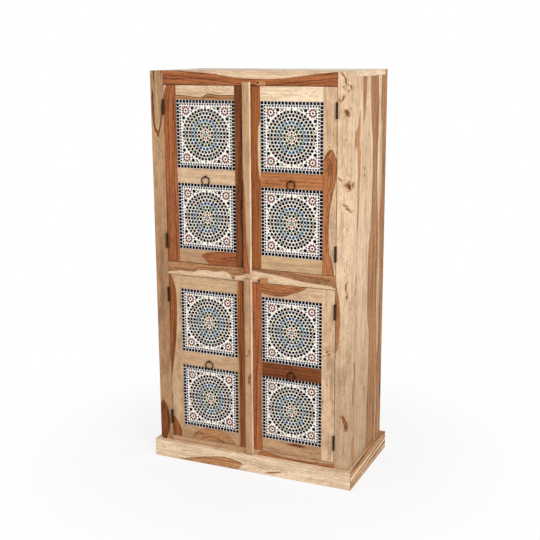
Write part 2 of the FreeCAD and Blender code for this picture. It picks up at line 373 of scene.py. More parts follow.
# Depth of a log's core under the face, in half widths of its figure: ovals and tongues, and bands
POINTED, BAND_CORE = 0.4, 1 / 3
NOWHERE = Figure(0.0, 9.0, 0.0, 0.0, 0.0, 0.0, 0.0)


def lens(along, across, half_length, half_width, face, slope=0.0, inward=1):
    """Heartwood that comes to the face as a long oval, in millimetres."""
    core = half_width * POINTED
    reach = hypot(core, half_width)
    curl = (reach - core) / half_length ** 2 / MM
    return Figure(along * MM, across * MM, slope, (face + inward * core) * MM, reach * MM, 0.0, curl)


def tongue(along, across, length, half_width, face, inward=1):
    """Heartwood that starts in a point and is this wide after a length, which is negative the other way."""
    core = half_width * POINTED
    taper = (hypot(core, half_width) - core) / length
    return Figure(along * MM, across * MM, 0.0, (face + inward * core) * MM, core * MM, taper, 0.0)


def band(along, across, half_width, face, slope=0.0, inward=1):
    """Heartwood along the whole board."""
    core = half_width * BAND_CORE
    reach = hypot(core, half_width)
    return Figure(along * MM, across * MM, slope, (face + inward * core) * MM, reach * MM, 0.0, 0.0)


# Heartwood between two lines, each given by points along and across the board in millimetres
Zone = namedtuple("Zone", "low high", defaults=((), ()))


def line_through(along, points):
    """The place across the board of a smooth line through some points."""
    starts = [min(values) * MM for values in zip(*points)]
    ends = [max(values) * MM for values in zip(*points)]
    reach = {"Value": along, "From Min": starts[0], "From Max": ends[0]}
    made = add_node("FloatCurve", {"Value": add_node("MapRange", reach).outputs[0]})
    curve = made.mapping.curves[0]
    while len(curve.points) < len(points):
        curve.points.new(0.5, 0.5)
    for spot, place in zip(curve.points, sorted(points)):
        spot.location = [(value * MM - start) / (end - start)
                         for value, start, end in zip(place, starts, ends)]
    made.mapping.update()
    return plus(starts[1], made.outputs[0], ends[1] - starts[1])


# Metres over which figures, and knots with figures, flow into each other
FIGURE_FLOW, KNOT_FLOW = 0.004, 0.001


def inside_figure(place, figure):
    """How far a place lies inside a figure or a zone."""
    if isinstance(figure, Figure):
        return use_group(figure_group, {"Place": place, **figure._asdict()})[0]
    along, across, _ = split(place)
    parts = []
    if figure.low:
        parts.append(minus(across, line_through(along, figure.low)))
    if figure.high:
        parts.append(minus(line_through(along, figure.high), across))
    return parts[0] if len(parts) == 1 else calc("SMOOTH_MIN", *parts, FIGURE_FLOW)


def off_crack(place, points):
    """How far a place lies from a crack that runs through some points."""
    along, across, _ = split(place)
    aside = calc("ABSOLUTE", minus(across, line_through(along, points)))
    ends = [spot[0] * MM for spot in points]
    past = calc("MAXIMUM", minus(min(ends), along), minus(along, max(ends)))
    return calc("ADD", aside, calc("MAXIMUM", past, 0.0))


# How crooked knots and cracks are, in millimetres, and the distance in metres where there is no crack
CROOKED, NO_CRACK = 7.0, 1.0
WOOD_GLOSS, WOOD_BUMP, WOOD_BUMP_DEPTH = 0.14, 0.25, 0.0002
# A darker sapwood colour at a board's foot, and where it fades into the board's own, in millimetres along:
# painted shade
ShadedFoot = namedtuple("ShadedFoot", "sap low high")


def wood(name, axes, sap, heart, figures=(), seed=0.0, wander=5.0, knots=(), cracks=(), foot=None,
         rings=1.0, stain=0.5):
    """A board's sheesham: its colours, heartwood, knots and cracks, and a darker sapwood at its foot as
    painted shade.
    """
    def surface(tree):
        parts = split(own_place(tree))
        straight = joined(*(parts[axis] for axis in AXES[axes]))
        bend = {"Straight": straight, "Seed": seed, "Wander": wander * MM}
        place = use_group(place_group, {**bend, "Crook": wander * MM})[0]
        crooked = use_group(place_group, {**bend, "Crook": CROOKED * MM})[0]
        inside, crack, pale = None, NO_CRACK, sap
        stretches = [(figure, place, FIGURE_FLOW) for figure in figures or (NOWHERE,)]
        stretches += [(knot, crooked, KNOT_FLOW) for knot in knots]
        for figure, spot, flow in stretches:
            part = inside_figure(spot, figure)
            inside = part if inside is None else calc("SMOOTH_MAX", inside, part, flow)
        for points in cracks:
            crack = calc("MINIMUM", crack, off_crack(crooked, points))
        # painted shade: the sapwood darkens towards the board's foot
        if foot:
            up = spread(split(place)[0], foot.low * MM, foot.high * MM)
            pale = mix(up, foot.sap, sap)
        inputs = {"Place": place, "Inside": inside, "Crack": crack, "Seed": seed, "Rings": rings,
                  "Stain": stain, "Sap": pale, "Heart": heart}
        look = use_group(sheesham_group, inputs)
        return {"Base Color": look["Color"], "Roughness": look["Roughness"],
                "Normal": bump(look["Height"], WOOD_BUMP, WOOD_BUMP_DEPTH)}

    return finish_material(name, {"Specular IOR Level": WOOD_GLOSS}, surface)


# Boards: each wooden solid of the model, with its arrises eased

# Points are one, or on the box, within so many millimetres; faces are one, and edges blunt, up to an angle
SAME_POINT, ON_BOX, SAME_FACE, BLUNT = 0.001, 0.01, radians(0.5), 1.0
FACING = 0.5


def box_of(solid):
    return [(min(v.co[i] for v in solid.verts), max(v.co[i] for v in solid.verts)) for i in range(3)]


def solids_of(node):
    """The separate solids of a node as bmeshes with flat faces, from the left and from the floor up."""
    whole = bmesh.new()
    whole.from_mesh(frame["nodes"][node].data)
    bmesh.ops.remove_doubles(whole, verts=whole.verts, dist=SAME_POINT * MM)
    left, solids = set(whole.verts), []
    for start in whole.verts:
        if start not in left:
            continue
        group, queue = set(), [start]
        while queue:
            vert = queue.pop()
            if vert in left:
                left.discard(vert)
                group.add(vert)
                queue += [edge.other_vert(vert) for edge in vert.link_edges]
        solid = bmesh.new()
        copies = {vert: solid.verts.new(vert.co) for vert in whole.verts if vert in group}
        for face in whole.faces:
            if face.verts[0] in group:
                solid.faces.new([copies[vert] for vert in face.verts])
        bmesh.ops.dissolve_limit(solid, angle_limit=SAME_FACE, verts=solid.verts, edges=solid.edges)
        solids.append(solid)
    whole.free()
    return sorted(solids, key=lambda solid: [round(box_of(solid)[axis][LOW], 4) for axis in (X, Z)])


def ease_edges(solid, radius):
    """Rounds the edges that lie on the edges of a solid's box, and marks the rounded faces."""
    limits = box_of(solid)

    def on_box_edge(edge):
        sides = 0
        for axis, ends in enumerate(limits):
            sides += any(all(abs(vert.co[axis] - end) < ON_BOX * MM for vert in edge.verts) for end in ends)
        return sides >= 2 and len(edge.link_faces) == 2 and edge.calc_face_angle(0.0) > BLUNT

    mark = solid.faces.layers.float.new("edge")
    edges = [edge for edge in solid.edges if on_box_edge(edge)]
    done = bmesh.ops.bevel(solid, geom=edges, offset=radius * MM, segments=2, profile=0.5, affect="EDGES",
                           clamp_overlap=True)
    for face in done["faces"]:
        face[mark] = 1.0


def finish_mesh(name, solid, materials):
    mesh = bpy.data.meshes.new(name)
    solid.to_mesh(mesh)
    solid.free()
    for material in materials:
        mesh.materials.append(material)
    return mesh


def add_piece(name, solid, materials, node):
    """A finished piece that stands for a node and rides on the node's body."""
    piece = add_object(name, finish_mesh(name, solid, materials))
    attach(piece, frame["nodes"][node]["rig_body"])
    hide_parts(node)


def board(node, material, ease=0.6, index=0, name=None, painted_light_right=None):
    """A board from one solid of a node; its right-facing faces can take a second, paler wood as painted
    light.
    """
    solid = solids_of(node)[index]
    ease_edges(solid, ease)
    materials = [material]
    # painted light: the right-facing faces take the paler wood, as if lit from the right
    if painted_light_right:
        materials.append(painted_light_right)
        for face in solid.faces:
            face.normal_update()
            face.material_index = int(face.normal.x > FACING)
    add_piece(name or node + "_board", solid, materials, node)


def glued_panel(node, materials, seams, ease=0.6, ends=None):
    """A panel of boards glued at seams, from front to back; its ends can be of one wood."""
    solid = solids_of(node)[0]
    ease_edges(solid, ease)
    back = Vector((0.0, 1.0, 0.0))
    for seam in seams:
        everything = list(solid.verts) + list(solid.edges) + list(solid.faces)
        bmesh.ops.bisect_plane(solid, geom=everything, plane_co=back * seam * MM, plane_no=back)
    for face in solid.faces:
        face.material_index = sum(face.calc_center_median().y > seam * MM for seam in seams)
        face.normal_update()
        if ends and abs(face.normal.x) > FACING:
            face.material_index = len(materials)
    add_piece(node + "_board", solid, materials + [ends] if ends else materials, node)


# Front frame: figures in millimetres along and across the grain

POST_EASE, RAIL_EASE, PANEL_EASE = 1.0, 0.8, 0.4
FRONT = face_of("left_front_post", LOW, Y)
left_arm = Zone(
    ((1012, -292), (1024, -297), (1045, -307), (1075, -311), (1110, -313), (1150, -311), (1170, -304)),
    ((1012, -297), (1024, -293), (1045, -303), (1075, -306), (1110, -307), (1150, -308), (1170, -312)))
right_arm = Zone(
    ((1012, -292), (1024, -297), (1040, -291), (1066, -286), (1100, -283), (1125, -279)),
    ((1012, -297), (1024, -292), (1040, -287), (1066, -281), (1100, -279), (1125, -282)))
left_post = [lens(118, -303, 64, 21, FRONT), left_arm, right_arm, tongue(1160, -302, 60, 3, FRONT),
             tongue(1172, -279, 50, 4, FRONT)]
right_post = Zone(high=(
    (413, 266), (422, 277), (437, 281), (471, 284), (519, 286), (554, 284), (600, 277), (640, 270)))
right_knots = [lens(1099, 301, 10, 6, FRONT, -0.4), lens(899, 306, 9, 5, FRONT),
               lens(206, 305, 19, 6, FRONT, -0.4), lens(190, 309, 12, 4, FRONT)]
right_cracks = (
    ((1173, 302), (1181, 297), (1192, 295), (1199, 288), (1207, 284)),
    ((1157, 305), (1164, 293), (1169, 290), (1174, 300)),
    ((1157, 305), (1161, 311), (1168, 312), (1174, 302)),
    ((1129, 282), (1134, 278), (1144, 270)),
    ((1129, 282), (1138, 290), (1145, 291)),
    ((891, 308), (897, 300), (904, 293), (912, 287), (920, 277)),
    ((886, 303), (893, 311), (903, 313), (912, 307)),
    ((893, 304), (899, 299), (906, 301), (910, 308)),
    ((829, 313), (833, 308), (838, 306), (842, 298), (847, 290)),
    ((832, 311), (837, 301), (843, 304), (847, 295)),
    ((580, 306), (594, 305), (615, 303), (627, 307)),
    ((189, 308), (201, 311), (220, 291)),
    ((1091, 297), (1097, 302), (1106, 303)),
    ((893, 302), (899, 307), (905, 305)),
)
top_rail = Zone(high=(
    (-215, 1212), (-195, 1208), (-149, 1205), (-110, 1202), (-72, 1196.5), (-47, 1193), (3, 1189),
    (66, 1188), (130, 1193), (188, 1199.5), (223, 1204), (264, 1208)))
middle_rail = Zone(low=(
    (-276, 606), (-247, 613), (-212, 615.5), (-189, 615), (-166, 623), (-144, 624), (-110, 622), (-83, 626),
    (-66, 621), (-56, 609), (-50, 603), (-44, 614), (-14, 623), (10, 635), (53, 632), (95, 627), (191, 616),
    (220, 614), (244, 613), (264, 606)))
bottom_rail = Zone(high=((20, 40), (45, 72), (77, 66), (108, 63), (158, 61), (272, 66)))
# Both posts darken towards the floor through their foot sapwood: painted shade
left_wood = wood("left_post_wood", "z_front", HONEY, UMBER, left_post, seed=3.1, wander=4.0,
                 foot=ShadedFoot(DRAB, 500, 1200), stain=0.9)
right_wood = wood("right_post_wood", "z_front", SHELL, SIENNA, [right_post], seed=5.7, wander=4.0,
                  knots=right_knots, cracks=right_cracks, foot=ShadedFoot(ASH, 200, 700))
board("left_front_post", left_wood, POST_EASE)
board("right_front_post", right_wood, POST_EASE)
front_rails = {
    "top_rail": (SHELL, RUSSET, top_rail, 1.3, 2.0),
    "middle_rail": (SHELL, FAWN, middle_rail, 2.4, 2.0),
    "bottom_rail": (HONEY, SIENNA, bottom_rail, 4.2, 3.0),
}
for node, (sap, heart, figure, seed, wander) in front_rails.items():
    board(node, wood(node + "_wood", "x_front", sap, heart, [figure], seed, wander), RAIL_EASE)

# Plinth

PLINTH_EASE = 2.4
PLINTH_FRONT = face_of("front_plinth", LOW, Y)
PLINTH_BACK = face_of("back_plinth", HIGH, Y)
PLINTH_SIDE = face_of("side_plinths", HIGH, X)
front_plinth = Zone(
    ((-275, -9), (-60, -8), (-50, -4), (-33, 8), (-22, 23), (-12, 36)),
    ((-285, -6), (-235, 3), (-197, 13), (-160, 23), (-112, 32), (-79, 35), (-46, 31), (-22, 23), (-12, 12)))
front_hearts = [front_plinth, lens(36, 23, 18, 1.5, PLINTH_FRONT, -0.2),
                lens(84, 14, 26, 2.5, PLINTH_FRONT, 0.2)]
back_hearts = [lens(90, 30, 190, 20, PLINTH_BACK, 0.03, -1)]
board("front_plinth", wood("front_plinth_wood", "x_front", IVORY, HAZEL, front_hearts, seed=6.6, wander=3.0),
      PLINTH_EASE)
board("back_plinth", wood("back_plinth_wood", "x_front", TAN, RUSSET, back_hearts, seed=7.7), PLINTH_EASE)
for index, side in enumerate(SIDES):
    sign = SIGNS[side]
    hearts = [band(0, across, half, sign * PLINTH_SIDE, slope, -sign)
              for across, half, slope in ((52, 7, 0.02), (33, 3, 0.05), (17, 5, 0.03), (2, 4, 0.02))]
    side_wood = wood(side + "_plinth_wood", "y_side", IVORY, HAZEL, hearts, seed=8.1 + index, wander=3.0)
    board("side_plinths", side_wood, PLINTH_EASE, index, side + "_plinth_board")

# Sides, top and inside

SIDE = face_of("right_side_panel", HIGH, X)
TOP = face_of("top_board", HIGH, Z)
BACK = face_of("back_posts", HIGH, Y)
PANEL_FRONT, PANEL_BACK = (face_of("right_side_panel", end, Y) for end in (LOW, HIGH))
SIDE_SEAMS = (-72.0, 0.0, 100.0)
TOP_SEAMS = (-75.0, -8.0, 66.0)
flame = Zone(
    ((760, -108), (850, -104), (985, -112), (1012, -133), (1032, -142), (1053, -119), (1076, -104),
     (1104, -97)),
    ((760, -106), (850, -93), (985, -87), (1012, -96), (1035, -92), (1053, -90), (1076, -90), (1104, -99)))
stripe = Zone(
    ((1060, -55), (1084, -62), (1136, -68), (1192, -74)),
    ((1060, -62), (1079, -55), (1135, -41), (1191, -36)))
wide_band = Zone(
    ((60, 13), (190, 17), (296, 22), (403, 24), (471, 9), (567, 0), (673, 4), (774, 24), (863, 28),
     (943, 29), (1053, 15), (1133, 3), (1212, -4)),
    ((60, 88), (199, 95), (382, 98), (514, 90), (608, 92), (701, 96), (778, 90), (826, 82), (897, 74),
     (966, 74), (1048, 78), (1156, 74), (1212, 66)))
back_band = Zone(low=(
    (60, 104), (121, 106), (193, 112), (307, 101), (377, 118), (539, 119), (635, 115), (698, 113),
    (761, 104), (820, 117), (961, 119), (1045, 120), (1101, 96), (1195, 108)))
flame_cracks = (
    ((250, -121), (307, -119), (339, -110), (378, -117)),
    ((577, -117), (600, -111), (633, -107)),
    ((1000, -130), (1014, -134), (1022, -131)),
)
stripe_knots = [lens(along, across, 8, 4, SIDE, 0.0, -1)
                for along, across in ((935, -43), (918, -46), (262, -14))]
side_staves = (
    (SHELL, HAZEL, [flame, lens(100, -112, 45, 10, SIDE, 0.0, -1)], (), flame_cracks),
    (SHELL, FAWN, [stripe], stripe_knots, ()),
    (SHELL, FAWN, [wide_band], (), ()),
    (TAN, FAWN, [back_band], (), ()),
)
# The side staves darken towards the floor through their foot sapwood: painted shade
side_woods = [wood(f"right_side_wood_{i}", "z_side", sap, heart, figures, seed=10.3 + 1.7 * i, wander=3.0,
                   knots=knots, cracks=cracks, foot=ShadedFoot(ASH, 100, 800))
              for i, (sap, heart, figures, knots, cracks) in enumerate(side_staves)]
glued_panel("right_side_panel", side_woods, SIDE_SEAMS)

# Heartwood of boards that the photograph doesn't show, in shares of a board's length and half its width
START, OFFSET, LENS_LONG, LENS_WIDE, TONGUE_LONG, WIDE = 0.4, 0.6, 0.4, 0.6, 0.5, 0.7


def glued_woods(name, axes, seams, face, length):
    """Woods for the boards of a glued panel that the photograph doesn't show, each with its own heartwood."""
    woods = []
    for low, high in zip((PANEL_FRONT, *seams), (*seams, PANEL_BACK)):
        middle, half = (low + high) / 2, (high - low) / 2
        start = chance.uniform(-START, START) * length
        kind = chance.choice(("band", "lens", "plain", "tongue"))
        offset = half * chance.uniform(-OFFSET, OFFSET)
        run = length * chance.choice((-TONGUE_LONG, TONGUE_LONG))
        figures = {"band": [band(start, middle + offset, half * WIDE, face)],
                   "lens": [lens(start, middle, length * LENS_LONG, half * LENS_WIDE, face)],
                   "tongue": [tongue(start, middle, run, half * WIDE, face)],
                   "plain": []}[kind]
        sap = chance.choice((CREAM, TAN, TAN))
        heart = chance.choice((RUSSET, FAWN, CHESTNUT))
        seed = chance.uniform(20, 90)
        woods.append(wood(f"{name}_wood_{len(woods)}", axes, sap, heart, figures, seed))
    return woods


SIDE_LONG, SHELF_LONG = 1200, 600
left_woods = glued_woods("left_side", "z_side", SIDE_SEAMS, -SIDE, SIDE_LONG)
glued_panel("left_side_panel", left_woods, SIDE_SEAMS)
top_figures = ([], [lens(-90, -44, 130, 10, TOP, 0.02, -1)], [], [tongue(-40, 100, -190, 16, TOP, -1)])
top_woods = [wood(f"top_wood_{i}", "x_top", PALE, FAWN, figures, seed=61.0 + 1.9 * i)
             for i, figures in enumerate(top_figures)]
top_end_wood = wood("top_end_wood", "y_side", IVORY, FAWN, seed=68.8)
glued_panel("top_board", top_woods, TOP_SEAMS, RAIL_EASE, top_end_wood)
for shelf in ("bottom_board", "dividing_shelf", "upper_shelf", "lower_shelf"):
    shelf_woods = glued_woods(shelf, "x_top", TOP_SEAMS, face_of(shelf, HIGH, Z), SHELF_LONG)
    glued_panel(shelf, shelf_woods, TOP_SEAMS)
for index, side in enumerate(SIDES):
    hearts = [band(600, SIGNS[side] * 310, 34, BACK, inward=-1)]
    post_wood = wood(side + "_back_post_wood", "z_front", TAN, FAWN, hearts, seed=14.2 + index)
    board("back_posts", post_wood, RAIL_EASE, index, side + "_back_post_board")
for index, (rail, across) in enumerate((("bottom", 40), ("top", 1190))):
    hearts = [lens(60, across, 250, 18, BACK, inward=-1)]
    rail_wood = wood(rail + "_back_rail_wood", "x_front", TAN, CHESTNUT, hearts, seed=16.8 + index)
    board("back_rails", rail_wood, RAIL_EASE, index, rail + "_back_rail_board")
back_stripe = Zone(
    ((60, 36), (260, 60), (520, 46), (760, 78), (1000, 60), (1190, 86)),
    ((60, 134), (260, 150), (520, 172), (760, 148), (1000, 160), (1190, 138)))
back_wood = wood("back_panel_wood", "z_front", TAN, HAZEL, [back_stripe], seed=18.4, wander=9.0)
board("back_panel", back_wood, PANEL_EASE)
stop_wood = wood("plain_x_wood", "x_front", TAN, CHESTNUT, seed=19.9)
cleat_wood = wood("plain_y_wood", "y_side", HONEY, CHESTNUT, seed=21.3)
for index, level in enumerate(LEVELS):
    board("door_stops", stop_wood, index=index, name=level + "_door_stop_board")
for index, place in enumerate(("lower_left", "upper_left", "lower_right", "upper_right")):
    board("shelf_cleats", cleat_wood, index=index, name=place + "_shelf_cleat_board")

# Doors: figures in millimetres along and across the grain

DOOR = face_of("upper_left_outer_stile", LOW, Y)
upper_left_cracks = (
    ((696, -262), (703, -254), (700, -246), (710, -238)),
    ((708, -258), (714, -249), (712, -241)),
)
upper_right_cracks = (
    ((926, 240), (936, 250), (950, 253), (965, 250), (976, 240)),
    ((938, 237), (945, 244), (956, 244), (963, 237)),
    ((978, 238), (986, 244), (996, 247)),
)
lower_right_cracks = (
    ((402, 238), (412, 245), (409, 254), (419, 263)),
    ((424, 240), (420, 249), (428, 257)),
)


def part_look(sap, heart, figures=(), wander=3.0, **more):
    """The wood of a door's part, apart from its name, axes and seed."""
    return {"sap": sap, "heart": heart, "figures": figures, "wander": wander, **more}


doors = {
    "upper_left": dict(
        outer=part_look(CREAM, RUSSET, [Zone(low=(
            (1125, -276), (1142, -271), (1154, -268), (1165, -264), (1172, -260)))],
            wander=9.0, cracks=upper_left_cracks),
        meeting=part_look(TAN, UMBER, [band(900, -15, 60, DOOR)], wander=8.0),
        top=part_look(SHELL, FAWN, [Zone(high=(
            (-234, 1140.5), (-192, 1138), (-155, 1135), (-134, 1141), (-116, 1145.5), (-93, 1142.5),
            (-45, 1143)))]),
        middle=part_look(CREAM, CHESTNUT),
        bottom=part_look(HONEY, RUSSET, [Zone(
            ((-162, 684), (-155, 667), (-143, 656), (-132, 646), (-118, 634)),
            ((-162, 655), (-155, 667), (-147, 673), (-137, 677), (-109, 682), (-70, 692)))])),
    "upper_right": dict(
        outer=part_look(CREAM, SIENNA, [
            Zone(((960, 222), (971, 232), (976, 240), (992, 246), (1000, 254), (1006, 264)),
                 ((640, 266), (662, 262), (692, 254.5), (715, 249.5), (804, 248), (863, 256), (922, 268),
                  (964, 271), (975, 267), (992, 260), (1000, 252), (1006, 244))),
            lens(948, 247, 46, 19, DOOR)], wander=7.0, cracks=upper_right_cracks, rings=1.7),
        meeting=part_look(CREAM, CHESTNUT, [Zone(high=(
            (640, 46), (880, 44), (905, 39), (925, 36), (960, 33), (1035, 33), (1060, 37), (1085, 42),
            (1164, 46)))]),
        top=part_look(IVORY, CHESTNUT, stain=0.2),
        middle=part_look(TAN, SIENNA, [band(135, 850, 120, DOOR)], rings=0.3),
        bottom=part_look(TAN, CHESTNUT)),
    "lower_left": dict(
        outer=part_look(TAN, CHESTNUT, [
            Zone(high=((215, -280), (242, -273), (285, -267), (417, -250), (489, -246), (539, -247),
                       (570, -253), (597, -263))),
            Zone(high=((60, -238), (73, -239.5), (98, -242), (116, -250), (130, -259), (145, -280)))],
            stain=0.8),
        meeting=part_look(HONEY, CHESTNUT, [Zone(low=((74, -36), (250, -33), (420, -37), (600, -34)))]),
        top=part_look(TAN, CHESTNUT),
        middle=part_look(TAN, CHESTNUT),
        bottom=part_look(HONEY, FAWN, [lens(-126, 60, 84, 56, DOOR)], wander=6.0)),
    "lower_right": dict(
        outer=part_look(CREAM, CHESTNUT, cracks=lower_right_cracks, stain=0.9),
        meeting=part_look(HONEY, RUSSET, [Zone(high=((74, 41), (250, 38), (420, 42), (540, 39), (600, 43)))],
                          wander=7.0),
        top=part_look(CREAM, SIENNA, [Zone(low=(
            (30, 572), (70, 566), (100, 565), (141, 579), (175, 594), (192, 608)))]),
        middle=part_look(TAN, UMBER, [band(135, 280, 120, DOOR)], rings=0.4),
        bottom=part_look(HONEY, CHESTNUT, [lens(150, 108, 36, 4, DOOR)], stain=0.9)),
}
STILES, RAILS = ("outer", "meeting"), ("bottom", "middle", "top")
DOOR_EASE, SEED_STEP, BACK_SEED = 0.5, 2.3, 1.1
seed = 30.0
for door, looks in doors.items():
    for part in STILES + RAILS:
        seed += SEED_STEP
        name = f"{door}_{part}"
        axes = "z_front" if part in STILES else "x_front"
        part_wood = wood(name + "_wood", axes, seed=seed, **looks[part])
        if part in STILES:
            board(name + "_stile", part_wood, DOOR_EASE)
        else:
            board(door + "_door_rails", part_wood, DOOR_EASE, RAILS.index(part), name + "_rail_board")
    tile_back = wood(door + "_back_wood", "z_front", TAN, AMBER, seed=seed + BACK_SEED)
    for index, place in enumerate(("bottom", "top")):
        board(door + "_tile_backs", tile_back, PANEL_EASE, index, f"{door}_{place}_tile_back")

# Closing strips and turn-buttons

STRIP_EASE, BUTTON_EASE = 1.2, 0.4
upper_strip = Zone(high=((620, 9.5), (645, 6.5), (695, 1.5), (756, -3), (850, -7), (960, -13)))
strip_cracks = (
    ((286, 5), (296, 2), (303, 6), (316, 7)),
    ((292, 9), (299, 4), (308, 1)),
    ((372, -2), (381, 2), (392, 3)),
)
# The strips' right-facing sides: a paler wood as painted light from the right
painted_light_side_wood = wood("strip_painted_light_side_wood", "z_front", PALE, RUSSET, seed=26.3, wander=2.0)
upper_wood = wood("upper_strip_wood", "z_front", HONEY, RUSSET, [upper_strip], seed=24.4, wander=2.0)
lower_wood = wood("lower_strip_wood", "z_front", HONEY, CHESTNUT, seed=25.8, wander=3.0, cracks=strip_cracks)
board("upper_strip", upper_wood, STRIP_EASE, painted_light_right=painted_light_side_wood)
board("lower_strip", lower_wood, STRIP_EASE, painted_light_right=painted_light_side_wood)
for level in LEVELS:
    button_wood = wood(level + "_button_wood", "x_front", HAZEL, RUSSET, seed=27.1)
    board(level + "_turn_button", button_wood, BUTTON_EASE)


# Tiles: a glazed slab with a low-relief mosaic

GLAZES = {
    "white": (251, 245, 234), "grout": (252, 247, 244), "black": (5, 4, 6), "navy": (16, 17, 40),
    "blue": (16, 64, 94), "azure": (28, 90, 122), "green": (14, 36, 22), "olive": (66, 74, 26),
    "yellow": (196, 174, 62), "maroon": (116, 32, 29), "red": (122, 34, 30), "orange": (150, 74, 44),
    "sage": (112, 134, 112), "plum": (40, 12, 18), "wine": (62, 17, 20),
}
POOLS = Pattern((60.0,) * 3, 2.0, 0.5, 0.3, 0.7)
SPECKS = Pattern((900.0,) * 3, 1.0, 0.5, 0.66, 0.74)
WAVES = Pattern((140.0,) * 3, 1.0, 0.5)
THIN_TINT, SPECK_COLOUR, SPECK_SHARE = (0.86, 0.86, 0.88), (0.25, 0.22, 0.20, 1.0), 0.12
GLAZE_ROUGH, POOL_ROUGH, GLAZE_GLOSS, GLAZE_BUMP, GLAZE_BUMP_DEPTH = 0.10, 0.06, 0.07, 0.15, 0.0004


def glaze(name, base):
    """Glazed pottery: its colour pools and thins a little, and its surface is smooth but not flat."""
    thin = (*(part * share for part, share in zip(base, THIN_TINT)), 1.0)

    def surface(tree):
        place = own_place(tree)
        pool = pattern(place, POOLS)
        tint = mix(times(pattern(place, SPECKS), SPECK_SHARE), mix(pool, base, thin), SPECK_COLOUR)
        return {"Base Color": tint, "Roughness": plus(GLAZE_ROUGH, pool, POOL_ROUGH),
                "Normal": bump(pattern(place, WAVES), GLAZE_BUMP, GLAZE_BUMP_DEPTH)}

    return finish_material(name, {"Specular IOR Level": GLAZE_GLOSS}, surface)


glaze_names = list(GLAZES)
glaze_materials = [glaze("glaze_" + name, colour(*GLAZES[name])) for name in glaze_names]

# Sizes of a tile and its mosaic in millimetres; the field lies inside the border, measured from the middle
SLAB_WIDE, SLAB_HIGH, SLAB_THICK = 200.0, 210.0, 8.0
SHOWN_WIDE, SHOWN_HIGH = 190.0, 200.0
FIELD_WIDE, FIELD_HIGH, FIELD_MARGIN = 78.0, 83.0, 0.6
RELIEF, DRAFT, SUNK = 0.30, 0.22, 0.05
GAP, SMALLEST_FILL, LARGEST_FILL = 0.30, 1.4, 2.9
CUT_CORNER, ROUND_SIDES = 1.12, 8
CORNER_X, CORNER_Z, CORNER_ROOM, CORNER_HEART = 63.5, 68.5, 14.2, 3.4
PETALS, PETAL_RING, PETAL_LONG, PETAL_WIDE = 10, 10.0, 7.4, 5.6
SIDE_DOT_Z, SIDE_DOT, HEART_DOT = 79, 2.9, 2.6
# Rows of border squares: how many along and up, their inset, size and glaze
BORDERS = ((18, 19, 5.1, 8.9, "black"), (21, 22, 13.2, 5.4, "plum"))
# Dots of a corner: place, radius and glaze
CORNER_DOTS = ((42, 76, 5.6, "black"), (71, 47, 5.6, "black"), (74, 79, 3.2, "yellow"),
               (18, 79, 2.9, "yellow"), (74, 21, 2.9, "yellow"))
# Rings of the rosette: radius, count, and the sizes and glazes of every other piece
RINGS = (
    (5.6, 6, (5.2, 5.2), ("sage", "green")),
    (12.8, 10, (7.4, 5.4), ("red", "orange")),
    (22.0, 12, (9.2, 8.8), ("black", "green")),
    (31.8, 18, (9.2, 8.9), ("green", "olive")),
    (41.8, 24, (9.3, 9.0), ("blue", "azure")),
    (51.2, 30, (9.1, 8.8), ("black", "wine")),
    (61.4, 36, (9.2, 8.9), ("navy", "black")),
    (71.4, 42, (9.2, 8.9), ("black", "wine")),
)
# Glaze of the small pieces, each up to a radius
FILL_TINTS = ((10, "sage"), (19, "yellow"), (29, "olive"), (38, "green"), (49, "azure"), (53, "black"),
              (59, "yellow"), (69, "plum"), (76, "wine"), (80, "white"), (130, "black"))


def gem(radius, angle, long, wide):
    """A piece with its corners cut off, on a ring about the middle of the tile."""
    spots = []
    for step in range(8):
        turn = pi * step / 4
        reach = 1.0 if step % 2 == 0 else CUT_CORNER
        out = radius + long / 2 * reach * cos(turn)
        side = wide / 2 * reach * sin(turn)
        spots.append((out * cos(angle) - side * sin(angle), out * sin(angle) + side * cos(angle)))
    return spots


def oblong(wide, high, x=0.0, z=0.0):
    """The corners of a rectangle about a place, from half its width and half its height."""
    return [(x - wide, z - high), (x + wide, z - high), (x + wide, z + high), (x - wide, z + high)]


def rounded(x, z, radius):
    turns = [2 * pi * i / ROUND_SIDES for i in range(ROUND_SIDES)]
    return [(x + radius * cos(turn), z + radius * sin(turn)) for turn in turns]


def in_field(outline):
    wide, high = FIELD_WIDE - FIELD_MARGIN, FIELD_HIGH - FIELD_MARGIN
    return all(abs(x) < wide and abs(z) < high for x, z in outline)


